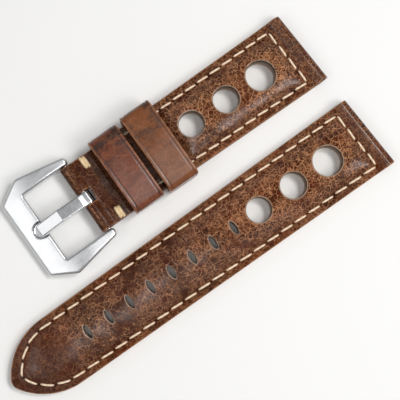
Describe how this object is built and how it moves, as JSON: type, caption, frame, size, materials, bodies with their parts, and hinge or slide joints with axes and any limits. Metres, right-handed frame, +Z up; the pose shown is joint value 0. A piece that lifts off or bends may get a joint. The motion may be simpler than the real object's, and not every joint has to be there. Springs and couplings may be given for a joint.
{
  "type": "leather watch strap",
  "caption": "Padded leather watch strap in a buckle half and a tail half, with large round holes, saddle stitching, leather keepers and a satin steel tongue buckle on a spring bar.",
  "frame": {"origin": "bottom centre of the bounding box of the strap laid flat, both halves side by side", "axes": "+X along both halves towards their lug (watch) ends, +Y across them from the tail half to the buckle half, +Z up out of the table, towards the strap's outer face"},
  "size_m": [0.12, 0.0563, 0.0109],
  "materials": {
    "distressed_leather": "distressed brown, satin, pale crackle",
    "keeper_leather_tan": "tan brown, satin",
    "keeper_leather_red": "red brown, creased, satin",
    "lining_leather": "smooth, matt, light brown",
    "padding_board": "raw split leather",
    "reinforcement_cloth": "thin non-stretch cloth",
    "cream_thread": "waxed cream thread",
    "tack_thread": "waxed thick cream thread",
    "brushed_buckle": "satin brushed",
    "bar_steel": "turned steel"
  },
  "bodies": {
    "buckle_half": {"buckle_top_leather": "distressed_leather", "buckle_padding": "padding_board", "buckle_reinforcement": "reinforcement_cloth", "buckle_lining": "lining_leather", "buckle_top_thread": "cream_thread", "buckle_lining_thread": "cream_thread", "bar_tacks": "tack_thread", "fixed_keeper": "keeper_leather_red", "spring_bar_barrel": "bar_steel", "spring_bar_spring": "bar_steel"},
    "frame": {"buckle_frame": "brushed_buckle"},
    "tongue": {"buckle_tongue": "brushed_buckle"},
    "free_keeper_loop": {"free_keeper": "keeper_leather_tan"},
    "pin_left": {"spring_bar_pin_left": "bar_steel"},
    "pin_right": {"spring_bar_pin_right": "bar_steel"},
    "tail_half": {"tail_top_leather": "distressed_leather", "tail_padding": "padding_board", "tail_reinforcement": "reinforcement_cloth", "tail_lining": "lining_leather", "tail_top_thread": "cream_thread", "tail_lining_thread": "cream_thread"}
  },
  "joints": [
    {"name": "buckle_swing", "type": "hinge", "parent": "buckle_half", "child": "frame", "pos_m": [-0.01441, 0.01263, 0.004], "axis": [0, 1, 0], "range_deg": [-75, 25]},
    {"name": "tongue_swing", "type": "hinge", "parent": "frame", "child": "tongue", "pos_m": [-0.01441, 0.01263, 0.004], "axis": [0, 1, 0], "range_deg": [0, 75]},
    {"name": "keeper_slide", "type": "slide", "parent": "buckle_half", "child": "free_keeper_loop", "axis": [0.9996, 0, -0.0282], "range_m": [-0.0014, 0.022]},
    {"name": "pin_left_push", "type": "slide", "parent": "buckle_half", "child": "pin_left", "axis": [0, -1, 0], "range_m": [0, 0.0012], "stiffness_N_per_m": 200, "springref_m": -0.001, "deforming": ["spring_bar_spring"]},
    {"name": "pin_right_push", "type": "slide", "parent": "buckle_half", "child": "pin_right", "axis": [0, 1, 0], "range_m": [0, 0.0012], "stiffness_N_per_m": 200, "springref_m": -0.001, "deforming": ["spring_bar_spring"]},
    {"name": "tail_set_aside", "type": "slide", "parent": "buckle_half", "child": "tail_half", "axis": [0, -1, 0], "range_m": [0, 0.03]}
  ]
}
